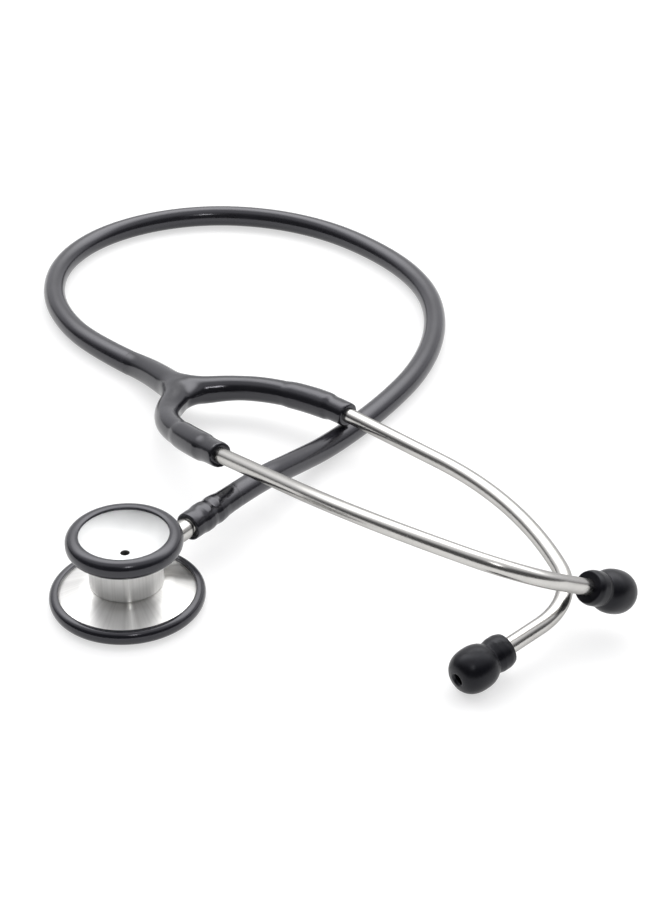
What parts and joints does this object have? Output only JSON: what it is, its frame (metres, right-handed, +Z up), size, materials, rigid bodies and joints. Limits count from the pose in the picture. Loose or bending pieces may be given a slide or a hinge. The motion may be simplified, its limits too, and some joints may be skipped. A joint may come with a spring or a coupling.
{
  "type": "stethoscope",
  "caption": "Dual-head stethoscope with a turning bell and diaphragm chestpiece, soft Y tubing in a loose loop and a sprung metal headset with mushroom ear tips.",
  "frame": {"origin": "centre of the diaphragm's contact face, on the table that the object lies on", "axes": "+Z up, out of the bell; +X along the valve stem, from the chestpiece towards the tubing; left and right ear tubes are named as seen from the crotch of the Y, looking down and towards the ear tips"},
  "size_m": [0.2577, 0.3037, 0.0375],
  "materials": {
    "steel": "satin, turned",
    "bright_steel": "polished",
    "spring_steel": "plain",
    "soft_grey": "glossy moulded vinyl",
    "soft_black": "satin silicone",
    "membrane": "smooth, slightly translucent"
  },
  "bodies": {
    "tubing": {"valve_stem": "bright_steel", "stem_seal": "soft_black", "stem_cuff": "soft_grey", "sound_tube": "soft_grey", "yoke_trunk": "soft_grey", "leaf_spring": "spring_steel"},
    "chestpiece": {"chestpiece_body": "steel", "bell_rim": "soft_grey", "diaphragm": "membrane", "diaphragm_rim": "soft_grey", "detent_ball": "bright_steel", "detent_spring": "spring_steel", "detent_screw": "steel"},
    "left_headset": {"left_yoke_arm": "soft_grey", "left_spring_clip": "spring_steel", "left_ear_tube": "bright_steel", "left_ear_tip": "soft_black"},
    "right_headset": {"right_yoke_arm": "soft_grey", "right_spring_clip": "spring_steel", "right_ear_tube": "bright_steel", "right_ear_tip": "soft_black"}
  },
  "joints": [
    {"name": "chestpiece_turn", "type": "hinge", "parent": "tubing", "child": "chestpiece", "pos_m": [0, 0, 0.012], "axis": [1, 0, 0], "continuous": true},
    {"name": "left_spread", "type": "hinge", "parent": "tubing", "child": "left_headset", "pos_m": [0.0907, 0.0585, 0.0095], "axis": [-0.1221, 0.0322, 0.992], "range_deg": [0, 18], "stiffness_Nm_per_rad": 1.5, "deforming": ["leaf_spring"]},
    {"name": "right_spread", "type": "hinge", "parent": "tubing", "child": "right_headset", "pos_m": [0.0907, 0.0585, 0.0095], "axis": [-0.5211, -0.041, -0.8525], "range_deg": [0, 18], "stiffness_Nm_per_rad": 1.5, "deforming": ["leaf_spring"]}
  ],
  "couplings": [
    {"joint": "right_spread", "follows": "left_spread", "ratio": 1}
  ]
}
